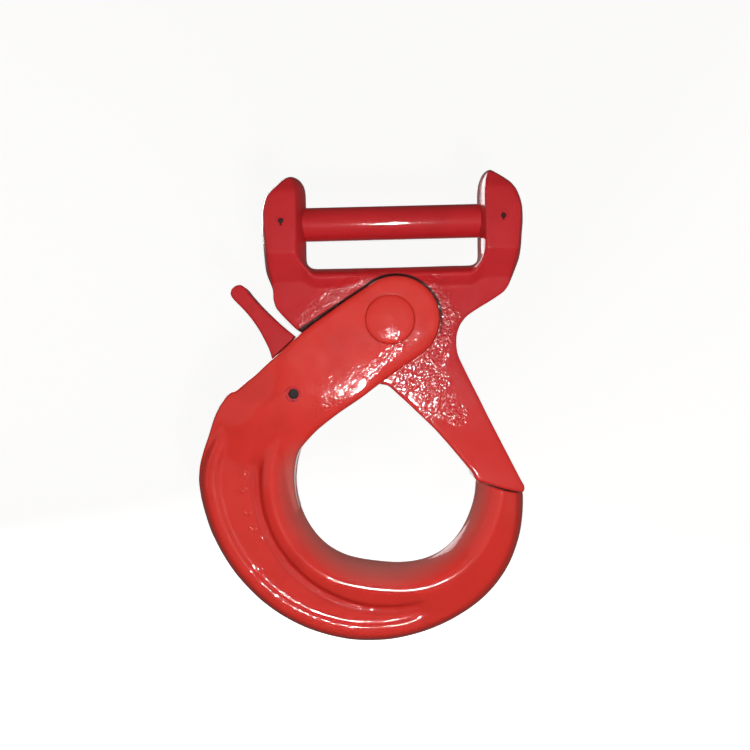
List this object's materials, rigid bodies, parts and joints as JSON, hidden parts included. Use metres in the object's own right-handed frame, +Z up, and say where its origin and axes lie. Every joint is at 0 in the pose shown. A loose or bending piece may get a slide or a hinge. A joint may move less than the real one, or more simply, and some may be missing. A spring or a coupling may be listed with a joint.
{
  "type": "safety chain hook",
  "caption": "Self-locking lifting hook with a wide clevis head and cross bar for a web sling; the bowl swings open when its trigger is released.",
  "frame": {"origin": "centre of the sling bar, half way between the two ears", "axes": "+X along the sling bar to the right as in the picture, +Y away from the viewer, +Z up with the hook hanging from its bar"},
  "size_m": [0.1317, 0.03, 0.1868],
  "materials": {
    "enamel": "glossy red enamel over a forged surface",
    "spring_steel": "plain spring wire"
  },
  "bodies": {
    "head_frame": {"head": "enamel", "sling_bar": "enamel", "bar_roll_pin_left": "enamel", "bar_roll_pin_right": "enamel"},
    "hook": {"hook_body": "enamel", "pivot_pin": "enamel", "trigger_roll_pin": "enamel"},
    "trigger_lever": {"trigger": "enamel", "trigger_spring": "spring_steel"}
  },
  "joints": [
    {"name": "hook_swing", "type": "hinge", "parent": "head_frame", "child": "hook", "pos_m": [-0.0018, 0, -0.0393], "axis": [0, 1, 0], "range_deg": [0, 28]},
    {"name": "trigger_turn", "type": "hinge", "parent": "hook", "child": "trigger_lever", "pos_m": [-0.0396, 0, -0.0671], "axis": [0, -1, 0], "range_deg": [0, 45]}
  ],
  "couplings": [
    {"joint": "trigger_turn", "follows": "hook_swing", "ratio": 1.6}
  ]
}
